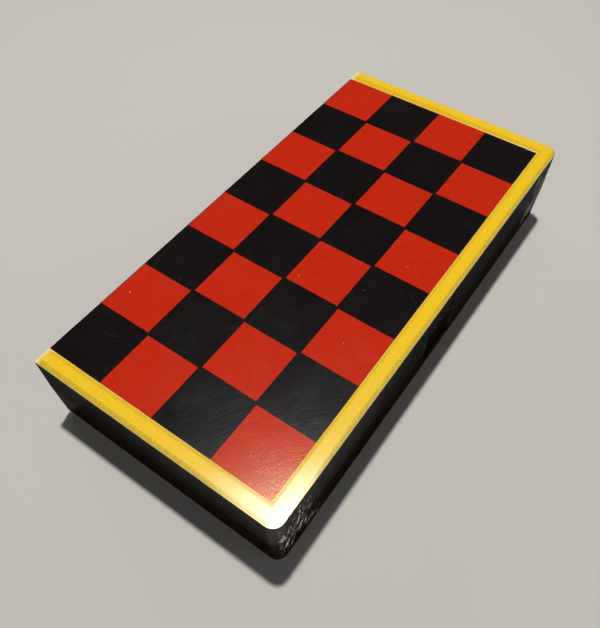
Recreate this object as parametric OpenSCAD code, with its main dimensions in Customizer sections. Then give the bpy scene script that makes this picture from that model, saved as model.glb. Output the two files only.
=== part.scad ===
// Folding checkers set: a flat black case of two like halves, hinged along one long side.
// Each half carries half of the board on its outer face, inside a raised yellow rim.
// The checkers lie in a moulded tray in the lower half, and a snap tab holds the case shut.
//
// Both halves come from one mould. A half is drawn with its seam at z = 0, its board face
// down, and the hinge line along Y at x = 0. The upper half is the same form turned over
// about X, so its knuckles, lip and print fall between those of the lower half.

/* [Board] */
// Pitch of the squares
square = 25; // [23.5:0.5:30]
// Black line between neighbouring printed squares
print_gap = 1; // [0.4:0.1:2]
// Corner radius of a printed square
print_corner = 0.4; // [0.2:0.1:3]
// Thickness of the printed layer
print_t = 0.12; // [0.05:0.01:0.2]
// Thickness of the board sheet
sheet_t = 0.5; // [0.3:0.1:1]

/* [Rim] */
// Width of the raised rim beside the squares
rim_w = 7.2; // [6:0.1:10]
// Height of the rim above the board sheet
rim_h = 1.5; // [1.1:0.1:2.5]
// Width of the flat foot along both edges of the rim
rim_foot = 0.35; // [0.2:0.05:0.8]
// Height of that foot above the board sheet
rim_foot_h = 0.2; // [0.1:0.05:0.4]
// Run of the slope above the foot
rim_slope = 0.9; // [0.5:0.1:1.3]
// Run of the eased shoulder above the slope
rim_shoulder = 0.7; // [0.3:0.1:0.9]
// Height of that shoulder
rim_shoulder_h = 0.4; // [0.2:0.05:0.6]
// How far the rim laps over the edge of the board sheet
rim_lap = 1; // [0.5:0.1:2]

/* [Case] */
// Height of the closed case over both rims
case_h = 39; // [36:0.5:50]
// Thickness of the side walls
wall = 2; // [1.6:0.1:2.4]
// Thickness of the floor under the board sheet
floor_t = 1.5; // [1:0.1:2.2]
// Radius of the two upright corners on the latch side
corner_r = 4.3; // [3.4:0.1:8]
// How far the walls lean out from the rim to the seam
draft = 0.3; // [0.1:0.1:1.5]
// Eased edge along the seam, which shows as a fine line
seam_ease = 0.3; // [0.1:0.05:0.5]
// Thickness of the locating lip inside the seam
lip_t = 0.8; // [0.6:0.1:1]
// Height of the locating lip
lip_h = 1.4; // [0.8:0.1:2]

/* [Hinge] */
// Outer radius of a knuckle
knuckle_r = 2.5; // [2.1:0.1:2.8]
// Length of a knuckle
knuckle_l = 9; // [6:0.5:12]
// Radius of the steel hinge pin
pin_r = 1; // [0.7:0.05:1.2]
// Distance of each hinge's middle from the end of the case
hinge_inset = 35.4; // [34:0.2:55]

/* [Latch] */
// Width of the snap tab
tab_w = 21.6; // [12:0.2:24]
// Thickness of the snap tab
tab_t = 2.2; // [1.8:0.1:2.3]
// Reach of the tab over the upper half
tab_top = 6.4; // [6:0.1:7.6]
// Depth of the tab's pivot below the seam
tab_pivot_z = 5.6; // [4.8:0.1:6.4]
// Radius of the rounded foot of the tab
tab_foot_r = 1.3; // [1.1:0.05:1.5]
// Radius of the pivot stubs
stub_r = 0.85; // [0.6:0.05:0.95]
// Length of a pivot stub
stub_l = 1.2; // [0.8:0.1:1.6]
// Reach of the latch recess to each side of the seam
recess_h = 9.6; // [9.2:0.1:9.8]
// Depth of the latch recess
recess_d = 3.6; // [3.5:0.1:4.2]
// Radius of the snap bead on the tab
bead_r = 0.7; // [0.5:0.05:0.75]
// Height of the snap bead above the seam
bead_z = 4.4; // [4.2:0.1:5]
// Radius of the catch rib in the recess
catch_r = 0.6; // [0.4:0.05:0.65]
// Height of the catch rib above the seam
catch_z = 3.1; // [2.6:0.1:3.3]

/* [Checkers] */
// Diameter of a checker
checker_d = 20; // [16:0.5:21.5]
// Thickness of a checker over its ring
checker_h = 5; // [4.6:0.1:5.6]
// Number of reeds round the edge
reeds = 32; // [24:4:48]
// Depth of a reed
reed_d = 0.4; // [0.2:0.05:0.6]
// Mean radius of the raised stacking ring
ring_r = 7.2; // [6.6:0.1:7.2]
// Width of the stacking ring
ring_w = 1.4; // [0.8:0.1:1.6]
// Height of the stacking ring
ring_h = 0.5; // [0.3:0.1:0.7]
// Depth of the dished middle
dish = 0.5; // [0.2:0.1:0.8]
// Height of the crown in the dish
crown_h = 0.3; // [0.1:0.05:0.5]
// Width of the crown
crown_w = 7; // [5:0.5:8]

/* [Tray] */
// Depth of a checker pocket
pocket_depth = 4; // [3:0.1:4.1]
// Thickness of the pocket's bottom
pocket_floor = 1; // [0.6:0.1:1]
// Thickness of the tray's deck, skirt and pocket walls
tray_t = 1.2; // [0.8:0.1:1.4]
// Tray edge left beside the first and last pocket of a row
tray_edge_x = 4.9; // [3:0.1:6.5]
// Tray edge left before the first row and after the last
tray_edge_y = 9.5; // [3:0.5:16]
// Width of the finger groove along a row of pockets
groove_w = 9; // [6:0.5:12]
// Depth of the finger groove
groove_d = 2.8; // [1.5:0.1:2.8]

/* [Fits] */
// Radial clearance of the pin and the stubs in their bores
running_fit = 0.05; // [0.02:0.01:0.1]
// Clearance between a knuckle and the other half
knuckle_gap = 0.3; // [0.2:0.05:0.4]
// Gap between the hinge walls when the board lies open
hinge_gap = 0.2; // [0.1:0.05:0.4]
// Clearance of the locating lip in its rebate
lip_gap = 0.2; // [0.1:0.05:0.3]
// Side clearance of the tab in its recess
tab_gap = 0.3; // [0.2:0.05:0.5]
// Clearance between the tray and the case
tray_gap = 0.4; // [0.2:0.1:0.6]
// Clearance between a checker and its pocket
checker_gap = 0.4; // [0.2:0.1:0.5]
// Clearance of the stacking ring in the groove of the next checker
stack_gap = 0.15; // [0.1:0.05:0.2]

/* [Hidden] */
$fn = 64;
cols = 4;
rows = 8;
tray_cols = 4;
tray_rows = 6;
colour_n = 12;

// Outline of the playing area and of the case at its board faces
play_x = cols * square;
play_y = rows * square / 2;
case_x = play_x + rim_w;
case_y = play_y + rim_w;
half_h = case_h / 2;
hinge_x = hinge_gap / 2;
centre_x = (case_x + draft - knuckle_r) / 2;

// Levels below the seam
z_sheet = rim_h - half_h;
z_seat = z_sheet + sheet_t;
z_floor = z_seat + floor_t;
z_deck = z_floor + pocket_floor + pocket_depth;

// Hinge: plastic left round a knuckle notch, boss past the last knuckle, pin short of its bore
notch_wall = 1.2;
boss_end = 2;
pin_inset = 0.5;
hinge_y = case_y - hinge_inset;
boss_r = knuckle_r + knuckle_gap + notch_wall;
hinge_l = 4 * knuckle_l + 3 * knuckle_gap;
pin_l = hinge_l - 2 * pin_inset;

// Latch: walls behind the recess and past the stub bores, bead short of the tab's ends
recess_wall = 1.1;
stub_wall = 1.4;
bead_inset = 2.5;
nail_ease = 0.6;
latch_x = case_x + draft;
recess_w = tab_w + 2 * tab_gap;
recess_cheek = stub_l + stub_wall;
pivot_x = case_x + wall_out(-tab_pivot_z) - tab_foot_r;
bead_l = tab_w - 2 * bead_inset;

// Locating lip: it stops short of the hinge bosses and of the latch
lip_hinge_gap = 4;
lip_latch_gap = 2;
lip_end_gap = 0.5;
lip_from_x = boss_r + lip_hinge_gap;
lip_from_y = recess_w / 2 + recess_cheek + lip_latch_gap;

// Tray and pockets
pocket_r = checker_d / 2 + checker_gap;
tray_x0 = hinge_x + wall + tray_gap;
tray_x1 = case_x + wall_out(z_deck) - wall - tray_gap;
tray_y = case_y + wall_out(z_deck) - wall - tray_gap;
pocket_step_x = (tray_x1 - tray_x0 - 2 * (tray_edge_x + pocket_r)) / (tray_cols - 1);
pocket_step_y = 2 * (tray_y - tray_edge_y - pocket_r) / (tray_rows - 1);

// Gap between the print and the foot of the rim
print_fit = 0.05;

// Checker levels
body_h = checker_h - ring_h;
edge_ease = 0.5;
ring_ease = 0.2;

// Crown: height, foot and band as shares of its width, valleys and outer points of its height
crown_rise = 0.62;
crown_foot = 0.84;
crown_band = 0.15;
crown_valley = 0.5;
crown_drop = 0.12;

// How far a cutting solid runs past what it cuts
over = 1;

function checker_name(colour, i) = str(colour, "_checker_", i < 9 ? "0" : "", i + 1);

// How far the drafted walls stand out from the case outline at a level below the seam
function wall_out(z) = draft * (1 - (z + seam_ease) / (z_seat + seam_ease));

// Centre of pocket i, counted along the rows from the front, on the hinge line's axes
function pocket_at(i) = [
    tray_x0 + tray_edge_x + pocket_r + (i % tray_cols) * pocket_step_x,
    -tray_y + tray_edge_y + pocket_r + floor(i / tray_cols) * pocket_step_y];

// Middle of knuckle i of a hinge, from its end nearest the front
function knuckle_mid(i) = (i - 1.5) * (knuckle_l + knuckle_gap);

// Puts a half, or a piece in it, in its place in the closed case
module in_lower() translate([-centre_x, 0, half_h]) children();
module in_upper() translate([-centre_x, 0, half_h]) rotate([180, 0, 0]) children();

// Outline in X and Z, drawn out along Y to both sides of the middle
module prism_y(outline, y_half) {
    translate([0, y_half, 0]) rotate([90, 0, 0]) linear_extrude(2 * y_half) polygon(outline);
}

// Outline in Y and Z, drawn out along X
module prism_x(outline, x0, x1) {
    translate([x0, 0, 0]) rotate([90, 0, 90]) linear_extrude(x1 - x0) polygon(outline);
}

// Round bar along Y, centred on y
module bar_y(r, l, y = 0) {
    translate([0, y + l / 2, 0]) rotate([90, 0, 0]) cylinder(h = l, r = r);
}

// Slab with leaning sides: out0 and out1 are how far its sides stand out from the
// outline at z0 and z1, and end0 and end1 the same on the hinge side
module leaning_slab(x0, x1, y_half, z0, z1, out0, out1, end0, end1) {
    reach = max(out0, out1) + max(end0, end1, 0) + over;
    intersection() {
        prism_y([[x0 - end0, z0], [x1 + out0, z0], [x1 + out1, z1], [x0 - end1, z1]], y_half + reach);
        prism_x([[-y_half - out0, z0], [y_half + out0, z0], [y_half + out1, z1], [-y_half - out1, z1]],
                x0 - reach, x1 + reach);
    }
}

// The same slab with its two latch-side corners rounded to a radius r on the outline
module drafted_block(x0, x1, y_half, r, z0, z1, out0, out1, end0, end1) {
    difference() {
        leaning_slab(x0, x1, y_half, z0, z1, out0, out1, end0, end1);
        for (side = [0, 1]) mirror([0, side, 0])
            translate([x1 - r, y_half - r, z0 - over]) cube([3 * r, 3 * r, z1 - z0 + 2 * over]);
    }
    for (side = [0, 1]) mirror([0, side, 0])
        translate([x1 - r, y_half - r, 0])
            rotate_extrude() polygon([[0, z0], [r + out0, z0], [r + out1, z1], [0, z1]]);
}

// Blocks piled on the case outline, from a list of [level, stand-out, stand-out at the hinge]
module case_stack(levels, x0 = hinge_x) {
    for (i = [1 : len(levels) - 1])
        drafted_block(x0, case_x, case_y, corner_r, levels[i - 1][0], levels[i][0],
                      levels[i - 1][1], levels[i][1], levels[i - 1][2], levels[i][2]);
}

// CASE HALF

// Bosses in the cavity behind the two hinges
module hinge_bosses() {
    for (side = [-1, 1]) bar_y(boss_r, hinge_l + 2 * boss_end, side * hinge_y);
}

// Block in the cavity behind the latch recess
module latch_block(grow = 0) {
    half = recess_w / 2 + recess_cheek + grow;
    x0 = latch_x - recess_d - recess_wall - grow;
    translate([x0, -half, -recess_h - recess_wall])
        cube([case_x + 2 * wall - x0, 2 * half, recess_h + recess_wall + 2 * over]);
}

// Region of the seam to the front of the middle, clear of the hinge and the latch
module lip_region(shrink) {
    near = lip_from_y + shrink;
    translate([lip_from_x + shrink, -2 * case_y, -half_h]) cube([case_x, 2 * case_y - near, case_h]);
}

// Space inside the seam at a depth from the outer face, between two levels
module seam_core(depth, z0, z1, x0 = -wall) {
    case_stack([[z0, draft - depth, 0], [z1, draft - depth, 0]], x0);
}

// Locating lip along the front of the half, standing above the seam
module seam_lip() {
    intersection() {
        difference() {
            seam_core(wall - lip_t, -wall, lip_h, hinge_x);
            seam_core(wall, -2 * wall, 2 * lip_h);
        }
        lip_region(lip_end_gap);
    }
}

// Rebate along the rear that the other half's lip stands in
module seam_rebate() {
    mirror([0, 1, 0]) intersection() {
        seam_core(wall - lip_t - lip_gap, -lip_h - lip_gap, lip_h);
        lip_region(0);
    }
}

// Knuckles of this half, at every other place along each hinge
module knuckles() {
    for (side = [-1, 1])
        for (i = [0, 2]) bar_y(knuckle_r, knuckle_l, side * hinge_y + knuckle_mid(i));
}

// Clearance for the knuckles of the other half, in the places between
module knuckle_notches() {
    for (side = [-1, 1])
        for (i = [1, 3])
            bar_y(knuckle_r + knuckle_gap, knuckle_l + 2 * knuckle_gap, side * hinge_y + knuckle_mid(i));
}

// Recess across the seam for the snap tab, with the bores of its stubs
module latch_recess() {
    translate([latch_x - recess_d, -recess_w / 2, -recess_h])
        cube([3 * recess_d, recess_w, recess_h + over]);
    translate([pivot_x, 0, -tab_pivot_z])
        bar_y(stub_r + running_fit, recess_w + 2 * stub_l);
}

// Rib in the recess that the bead of the tab snaps over
module catch_rib() {
    translate([latch_x - recess_d, 0, -catch_z]) bar_y(catch_r, bead_l);
}

module case_half() {
    difference() {
        union() {
            difference() {
                case_stack([[z_seat, 0, 0], [-seam_ease, draft, 0], [0, draft - seam_ease, 0]]);
                difference() {
                    case_stack([[z_floor, wall_out(z_floor) - wall, 0], [over, draft - wall, 0]],
                               hinge_x + wall);
                    hinge_bosses();
                    latch_block();
                }
            }
            seam_lip();
            knuckles();
        }
        knuckle_notches();
        for (side = [-1, 1]) bar_y(pin_r + running_fit, hinge_l + 2 * over, side * hinge_y);
        seam_rebate();
        latch_recess();
    }
    catch_rib();
}

// BOARD

// Sheet that carries the print, lapped by the rim on three sides
module board_sheet() {
    translate([hinge_x, -play_y - rim_lap, z_sheet])
        cube([play_x + rim_lap - hinge_x, 2 * (play_y + rim_lap), sheet_t]);
}

// One printed square in the plane, from one corner to the other
module printed_square(from, to) {
    r = print_corner;
    polygon([[from[0] + r, from[1]], [to[0] - r, from[1]], [to[0], from[1] + r], [to[0], to[1] - r],
             [to[0] - r, to[1]], [from[0] + r, to[1]], [from[0], to[1] - r], [from[0], from[1] + r]]);
    for (x = [from[0] + r, to[0] - r]) for (y = [from[1] + r, to[1] - r])
        translate([x, y]) circle(r, $fn = 24);
}

// The sixteen red squares of one half of the board: beside the rim they run up to its foot
module board_squares() {
    g = print_gap / 2;
    for (c = [0 : cols - 1])
        for (r = [0 : rows - 1])
            if ((c + r) % 2 == 0)
                translate([0, 0, z_sheet - print_t]) linear_extrude(print_t) printed_square(
                    [c * square + g, r * square - play_y + (r == 0 ? print_fit : g)],
                    [(c + 1) * square - (c == cols - 1 ? print_fit : g),
                     (r + 1) * square - play_y - (r == rows - 1 ? print_fit : g)]);
}

// Rim: a low bead with a flat top, on three sides of the board, with its ends sloped like its sides
module board_rim() {
    top = rim_foot + rim_slope + rim_shoulder;
    slope_end = rim_foot + rim_slope;
    z_top = -half_h;
    z_slope = z_top + rim_shoulder_h;
    z_foot = z_sheet - rim_foot_h;
    difference() {
        case_stack([[z_top, -top, -top], [z_slope, -slope_end, -slope_end], [z_foot, -rim_foot, -rim_foot]]);
        leaning_slab(-rim_w, play_x, play_y, z_top - over, z_top, top + over, top, 0, 0);
        leaning_slab(-rim_w, play_x, play_y, z_top, z_slope, top, slope_end, 0, 0);
        leaning_slab(-rim_w, play_x, play_y, z_slope, z_foot, slope_end, rim_foot, 0, 0);
    }
    difference() {
        case_stack([[z_foot, 0, 0], [z_seat, 0, 0]]);
        leaning_slab(-rim_w, play_x, play_y, z_foot - over, z_seat + over, 0, 0, 0, 0);
        leaning_slab(-rim_w, play_x, play_y, z_sheet, z_seat + over,
                     rim_lap + lip_gap, rim_lap + lip_gap, 0, 0);
    }
}

// LATCH

module snap_tab() {
    x_in = latch_x - tab_t;
    x_pivot_face = case_x + wall_out(-tab_pivot_z);
    x_top_face = case_x + wall_out(-tab_top);
    prism_y([[x_in, -tab_pivot_z], [x_pivot_face, -tab_pivot_z], [latch_x, -seam_ease], [latch_x, seam_ease],
             [x_top_face, tab_top - nail_ease], [x_top_face - nail_ease, tab_top], [x_in, tab_top]],
            tab_w / 2);
    translate([pivot_x, 0, -tab_pivot_z]) {
        bar_y(tab_foot_r, tab_w);
        bar_y(stub_r, tab_w + 2 * stub_l);
    }
    translate([x_in, 0, bead_z]) bar_y(bead_r, bead_l);
}

// TRAY

// Space above the pocket floors: the pockets and the finger grooves that join them
module pockets(grow, under) {
    for (i = [0 : tray_cols * tray_rows - 1]) {
        at = pocket_at(i);
        translate([at[0], at[1], z_floor + pocket_floor - under])
            cylinder(h = z_deck - z_floor + over, r = pocket_r + grow);
    }
    for (row = [0 : tray_rows - 1]) {
        first = pocket_at(row * tray_cols);
        last = pocket_at(row * tray_cols + tray_cols - 1);
        translate([first[0], first[1] - groove_w / 2 - grow, z_deck - groove_d - under])
            cube([last[0] - first[0], groove_w + 2 * grow, groove_d + under + over]);
    }
}

module tray() {
    difference() {
        tray_outline(0, z_floor, z_deck);
        difference() {
            tray_outline(tray_t, z_floor - over, z_deck - tray_t);
            pockets(tray_t, pocket_floor);
        }
        pockets(0, 0);
    }
}

// Tray outline between two levels, drawn in by a wall, with the notch round the latch block
module tray_outline(inset, z0, z1) {
    out = wall_out(z_floor) - wall - tray_gap - inset;
    difference() {
        case_stack([[z0, out, 0], [z1, out, 0]], tray_x0 + inset);
        translate([0, 0, -recess_h]) latch_block(tray_gap + inset);
    }
}

// CHECKERS

// Half section of a checker, left wide at the edge where the reeds will be cut
module checker_section() {
    r = checker_d / 2;
    groove = ring_h + stack_gap;
    groove_half = ring_w / 2 + stack_gap;
    polygon([
        [0, 0], [ring_r - groove_half, 0], [ring_r - groove_half, groove],
        [ring_r + groove_half, groove], [ring_r + groove_half, 0],
        [r - edge_ease, 0], [r + over, edge_ease + over],
        [r + over, body_h - edge_ease - over], [r - edge_ease, body_h],
        [ring_r + ring_w / 2, body_h], [ring_r + ring_w / 2 - ring_ease, checker_h],
        [ring_r - ring_w / 2 + ring_ease, checker_h], [ring_r - ring_w / 2, body_h - dish],
        [0, body_h - dish]]);
}

module reeded_outline() {
    polygon([for (k = [0 : 2 * reeds - 1])
        let (r = checker_d / 2 - (k % 2) * reed_d, a = 180 * k / reeds) [r * cos(a), r * sin(a)]]);
}

// Plain five-pointed crown over a band
module crown() {
    h = crown_rise * crown_w;
    foot = crown_foot * crown_w / 2;
    band = crown_band * crown_w;
    points = [for (k = [0 : 8])
        [crown_w * (k / 8 - 0.5), h * (k % 2 == 1 ? crown_valley : 1 - crown_drop * abs(k / 4 - 1))]];
    linear_extrude(crown_h) translate([0, -h / 2])
        polygon(concat([[foot, 0], [-foot, 0], [-foot, band]], points, [[foot, band]]));
}

// Checker i of the tray, lying in its pocket
module checker(i) {
    at = pocket_at(i);
    in_lower() translate([at[0], at[1], z_floor + pocket_floor]) {
        intersection() {
            rotate_extrude() checker_section();
            linear_extrude(checker_h + over) reeded_outline();
        }
        translate([0, 0, body_h - dish]) rotate([0, 0, 90]) crown();
    }
}

// PIECES

black_plastic = [0.10, 0.09, 0.09];
sheet_black = [0.06, 0.06, 0.07];
print_red = [0.76, 0.14, 0.06];
rim_yellow = [0.95, 0.78, 0.15];
steel = [0.70, 0.71, 0.73];

module lower_case() color(black_plastic) in_lower() case_half();
module upper_case() color(black_plastic) in_upper() case_half();
module lower_board() color(sheet_black) in_lower() board_sheet();
module upper_board() color(sheet_black) in_upper() board_sheet();
module lower_squares() color(print_red) in_lower() board_squares();
module upper_squares() color(print_red) in_upper() board_squares();
module lower_rim() color(rim_yellow) in_lower() board_rim();
module upper_rim() color(rim_yellow) in_upper() board_rim();
module hinge_pin_front() color(steel) in_lower() bar_y(pin_r, pin_l, -hinge_y);
module hinge_pin_rear() color(steel) in_lower() bar_y(pin_r, pin_l, hinge_y);
module latch_tab() color(black_plastic) in_lower() snap_tab();
module storage_tray() color(black_plastic) in_lower() tray();
module red_checker(i) color(print_red) checker(i);
module black_checker(i) color(sheet_black) checker(colour_n + i);

lower_case();
upper_case();
lower_board();
upper_board();
lower_squares();
upper_squares();
lower_rim();
upper_rim();
hinge_pin_front();
hinge_pin_rear();
latch_tab();
storage_tray();
for (i = [0 : colour_n - 1]) {
    red_checker(i);
    black_checker(i);
}
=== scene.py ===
"""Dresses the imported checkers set, and lights it for the photograph's view."""

import logging
import math
from dataclasses import asdict, dataclass
from enum import Enum
from typing import ClassVar

import bmesh
import bpy
from mathutils import Matrix, Vector

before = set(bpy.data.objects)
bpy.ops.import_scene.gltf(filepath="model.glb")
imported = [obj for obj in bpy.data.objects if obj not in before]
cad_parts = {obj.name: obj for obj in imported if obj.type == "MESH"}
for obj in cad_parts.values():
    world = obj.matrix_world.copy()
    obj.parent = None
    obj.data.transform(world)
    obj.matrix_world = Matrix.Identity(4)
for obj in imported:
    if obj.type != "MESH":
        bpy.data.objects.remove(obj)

log = logging.getLogger("checkers_set")

Socket = bpy.types.NodeSocket
Feed = float | tuple[float, ...] | Socket
Colour = tuple[float, float, float]
Point = tuple[float, float, float]
Spot = tuple[float, float]
Range = tuple[float, float]

MM = 0.001
SEAM = 19.5 * MM
"""Height of the seam, midway between the two board faces."""
RIM_TOP = 19.5 * MM
"""Distance of the rims' flat tops from the seam."""

MIX_FACTOR = 0
MIX_NUMBERS = (2, 3)
MIX_COLOURS = (6, 7)
"""Places of a Mix node's factor, numbers and colours among its inputs."""
MIXED_NUMBER = 0
MIXED_COLOUR = 2
"""Places of its results among its outputs."""


class Side(Enum):
    """The two halves of the case, which come from one mould."""

    LOWER = "lower"
    UPPER = "upper"


class Team(Enum):
    """The two colours of checkers."""

    RED = "red"
    BLACK = "black"


class Effect(Enum):
    """The surface effects that the finishes share."""

    UNROLL = "unrolled_surface"
    PEEL = "orange_peel"
    HAIRLINES = "hairline_scratches"
    SPECKS = "dust_specks"
    SMEAR = "handling_smear"
    EDGE_RUB = "edge_rub"
    GRAIN = "mould_grain"
    WIPED = "wiping_streaks"


class Graph:
    """Adds nodes to one tree and joins them."""

    def __init__(self, tree: bpy.types.NodeTree) -> None:
        """Keeps a material's or a group's node tree."""
        self.tree = tree

    def feed(self, socket: Socket, value: Feed) -> None:
        """Links a socket to an input, or writes the value on the input itself.

        Args:
            socket: The input.
            value: A number, a tuple or an output socket.
        """
        if isinstance(value, Socket):
            self.tree.links.new(value, socket)
        else:
            socket.default_value = value

    def add(self, kind: str, inputs: dict[str | int, Feed] | None = None,
            **settings: object) -> bpy.types.Node:
        """Adds one node.

        Args:
            kind: The node's type.
            inputs: Values or sockets by the name or number of the input.
            **settings: The node's own settings.

        Returns:
            The new node.
        """
        node = self.tree.nodes.new(kind)
        for key, value in settings.items():
            setattr(node, key, value)
        for key, value in (inputs or {}).items():
            self.feed(node.inputs[key], value)
        return node

    def math(self, operation: str, *values: Feed, clamp: bool = False) -> Socket:
        """Adds a Math node, clamped from 0 to 1 or not, and returns its output."""
        node = self.add("ShaderNodeMath", dict(enumerate(values)), operation=operation, use_clamp=clamp)
        return node.outputs[0]

    def vector(self, operation: str, *values: Feed) -> Socket:
        """Adds a Vector Math node and returns its vector."""
        node = self.add("ShaderNodeVectorMath", dict(enumerate(values)), operation=operation)
        return node.outputs["Vector"]

    def parts(self, vector: Socket) -> tuple[Socket, Socket, Socket]:
        """Returns the X, Y and Z of a vector."""
        out = self.add("ShaderNodeSeparateXYZ", {0: vector}).outputs
        return out[0], out[1], out[2]

    def joined(self, x: Feed, y: Feed, z: Feed = 0.0) -> Socket:
        """Returns a vector made of three numbers."""
        return self.add("ShaderNodeCombineXYZ", {0: x, 1: y, 2: z}).outputs[0]

    def turned(self, vector: Socket, angle: Feed) -> Socket:
        """Returns a vector turned about Z."""
        node = self.add("ShaderNodeVectorRotate", {"Vector": vector, "Angle": angle}, rotation_type="Z_AXIS")
        return node.outputs[0]

    def here(self) -> Socket:
        """Returns the point in the object's own frame, which moves with its body."""
        return self.add("ShaderNodeTexCoord").outputs["Object"]

    def facing(self) -> Socket:
        """Returns the surface normal in the object's own frame."""
        return self.add("ShaderNodeTexCoord").outputs["Normal"]

    def slants(self) -> tuple[Socket, ...]:
        """Returns how squarely the surface lies to X, to Y and to Z, whichever way it looks."""
        return tuple(self.math("ABSOLUTE", part) for part in self.parts(self.facing()))

    def away(self, spot: Spot) -> Socket:
        """Measures how far the point is from a spot, seen from above.

        Args:
            spot: The spot's x and y, in metres.

        Returns:
            The distance, up to a metre.
        """
        x, y, _ = self.parts(self.here())
        return self.math("SQRT", self.sum(self.math("POWER", self.math("SUBTRACT", x, spot[0]), 2.0),
                                          self.math("POWER", self.math("SUBTRACT", y, spot[1]), 2.0)))

    def step(self, value: Socket, low: Feed, high: Feed) -> Socket:
        """Takes a smooth step of a value from 0 at low to 1 at high.

        Args:
            value: What is tested.
            low: Where the step begins.
            high: Where it ends; it may lie below low.

        Returns:
            The mask.
        """
        node = self.add("ShaderNodeMapRange", {"Value": value, "From Min": low, "From Max": high},
                        interpolation_type="SMOOTHSTEP")
        return node.outputs["Result"]

    def span(self, mask: Socket, low: float, high: float) -> Socket:
        """Spreads a mask from low, where it is 0, to high, where it is 1."""
        return self.math("MULTIPLY_ADD", mask, high - low, low)

    def noise(self, at: Socket, scale: Feed, octaves: float = 2.0, rough: float = 0.5) -> Socket:
        """Adds a noise texture.

        Args:
            at: Where it is read.
            scale: Its features to the metre.
            octaves: Its octaves.
            rough: How strong the finer octaves are.

        Returns:
            The noise, about 0.5 on average.
        """
        node = self.add("ShaderNodeTexNoise",
                        {"Vector": at, "Scale": scale, "Detail": octaves, "Roughness": rough})
        return node.outputs["Fac"]

    def drawn(self, *ways: tuple[Socket, Feed], octaves: float = 2.0, rough: float = 0.5) -> Socket:
        """Adds a noise that is drawn out more one way than another.

        Args:
            *ways: Two or three coordinates, each with its features to the metre.
            octaves: Its octaves.
            rough: How strong the finer octaves are.

        Returns:
            The noise, about 0.5 on average.
        """
        at = self.joined(*(self.math("MULTIPLY", value, scale) for value, scale in ways))
        return self.noise(at, 1.0, octaves, rough)

    def blend(self, share: Feed, a: Feed, b: Feed) -> Socket:
        """Mixes two colours.

        Args:
            share: How much of b there is.
            a: The first colour.
            b: The second colour.

        Returns:
            The mixed colour.
        """
        node = self.add("ShaderNodeMix", {MIX_FACTOR: share}, data_type="RGBA")
        for place, value in zip(MIX_COLOURS, (a, b)):
            self.feed(node.inputs[place], (*value, 1.0) if isinstance(value, tuple) else value)
        return node.outputs[MIXED_COLOUR]

    def pick(self, test: Socket, yes: Socket, no: Socket) -> Socket:
        """Returns one number where a test is 1, and another where it is 0."""
        node = self.add("ShaderNodeMix", {MIX_FACTOR: test, MIX_NUMBERS[0]: no, MIX_NUMBERS[1]: yes})
        return node.outputs[MIXED_NUMBER]

    def sum(self, *values: Feed) -> Socket:
        """Adds some numbers.

        Args:
            *values: The numbers.

        Returns:
            Their sum, kept from 0 to 1.
        """
        total = values[0]
        for value in values[1:]:
            total = self.math("ADD", total, value)
        return self.math("MULTIPLY", total, 1.0, clamp=True)

    def times(self, *values: Feed) -> Socket:
        """Multiplies some numbers.

        Args:
            *values: The numbers.

        Returns:
            Their product.
        """
        total = values[0]
        for value in values[1:]:
            total = self.math("MULTIPLY", total, value)
        return total

    def layers(self, *shares: tuple[Socket, float], start: float = 0.0) -> Socket:
        """Adds masks to a value, each at its own strength.

        Args:
            *shares: Each mask with its strength.
            start: The value that they add to.

        Returns:
            The sum, kept from 0 to 1.
        """
        return self.sum(start, *(self.times(mask, strength) for mask, strength in shares))


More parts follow.
